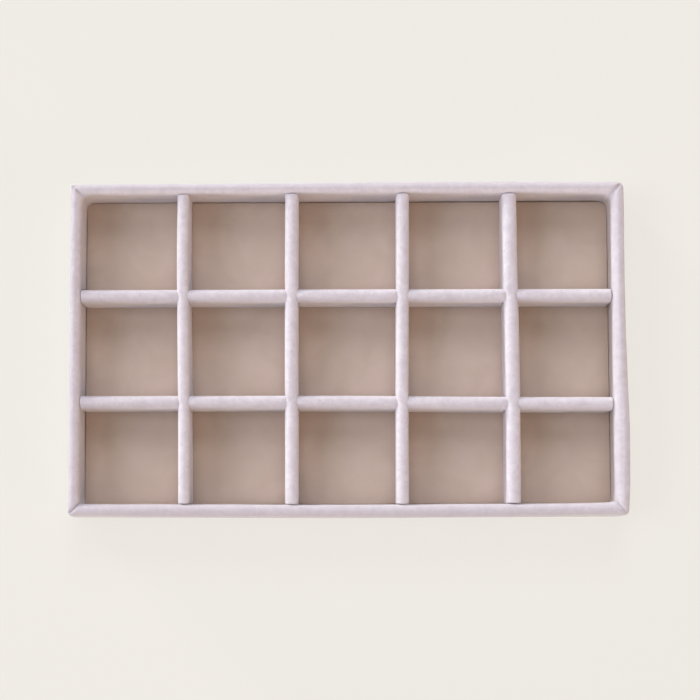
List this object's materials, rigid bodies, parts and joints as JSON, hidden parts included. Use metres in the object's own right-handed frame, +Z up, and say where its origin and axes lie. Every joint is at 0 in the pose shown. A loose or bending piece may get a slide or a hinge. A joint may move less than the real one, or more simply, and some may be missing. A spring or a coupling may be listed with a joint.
{
  "type": "jewelry tray",
  "caption": "Low open tray with velvet-wrapped walls, a suede floor and a lift-out velvet grid of half-lapped dividers that makes small square compartments.",
  "frame": {"origin": "on the table, under the middle of the tray", "axes": "+X to the right along the long side, +Y to the back, +Z up"},
  "size_m": [0.27, 0.1624, 0.03],
  "materials": {
    "wall_velvet": "short-pile velvet, pale pinkish white",
    "divider_velvet": "short-pile velvet, pale pinkish white",
    "floor_suede": "matt beige microsuede",
    "base_felt": "dense felt",
    "board": "raw fibreboard",
    "floor_card": "grey board"
  },
  "bodies": {
    "tray": {"front_wall_board": "board", "back_wall_board": "board", "left_wall_board": "board", "right_wall_board": "board", "front_wall_velvet": "wall_velvet", "back_wall_velvet": "wall_velvet", "left_wall_velvet": "wall_velvet", "right_wall_velvet": "wall_velvet", "base_board": "board", "base_felt": "base_felt", "floor_card": "floor_card", "floor_suede": "floor_suede"},
    "grid": {"long_divider_1_board": "board", "long_divider_1_velvet": "divider_velvet", "long_divider_2_board": "board", "long_divider_2_velvet": "divider_velvet", "cross_divider_1_board": "board", "cross_divider_1_velvet": "divider_velvet", "cross_divider_2_board": "board", "cross_divider_2_velvet": "divider_velvet", "cross_divider_3_board": "board", "cross_divider_3_velvet": "divider_velvet", "cross_divider_4_board": "board", "cross_divider_4_velvet": "divider_velvet"}
  },
  "joints": [
    {"name": "grid_lift", "type": "slide", "parent": "tray", "child": "grid", "axis": [0, 0, 1], "range_m": [0, 0.03]}
  ]
}
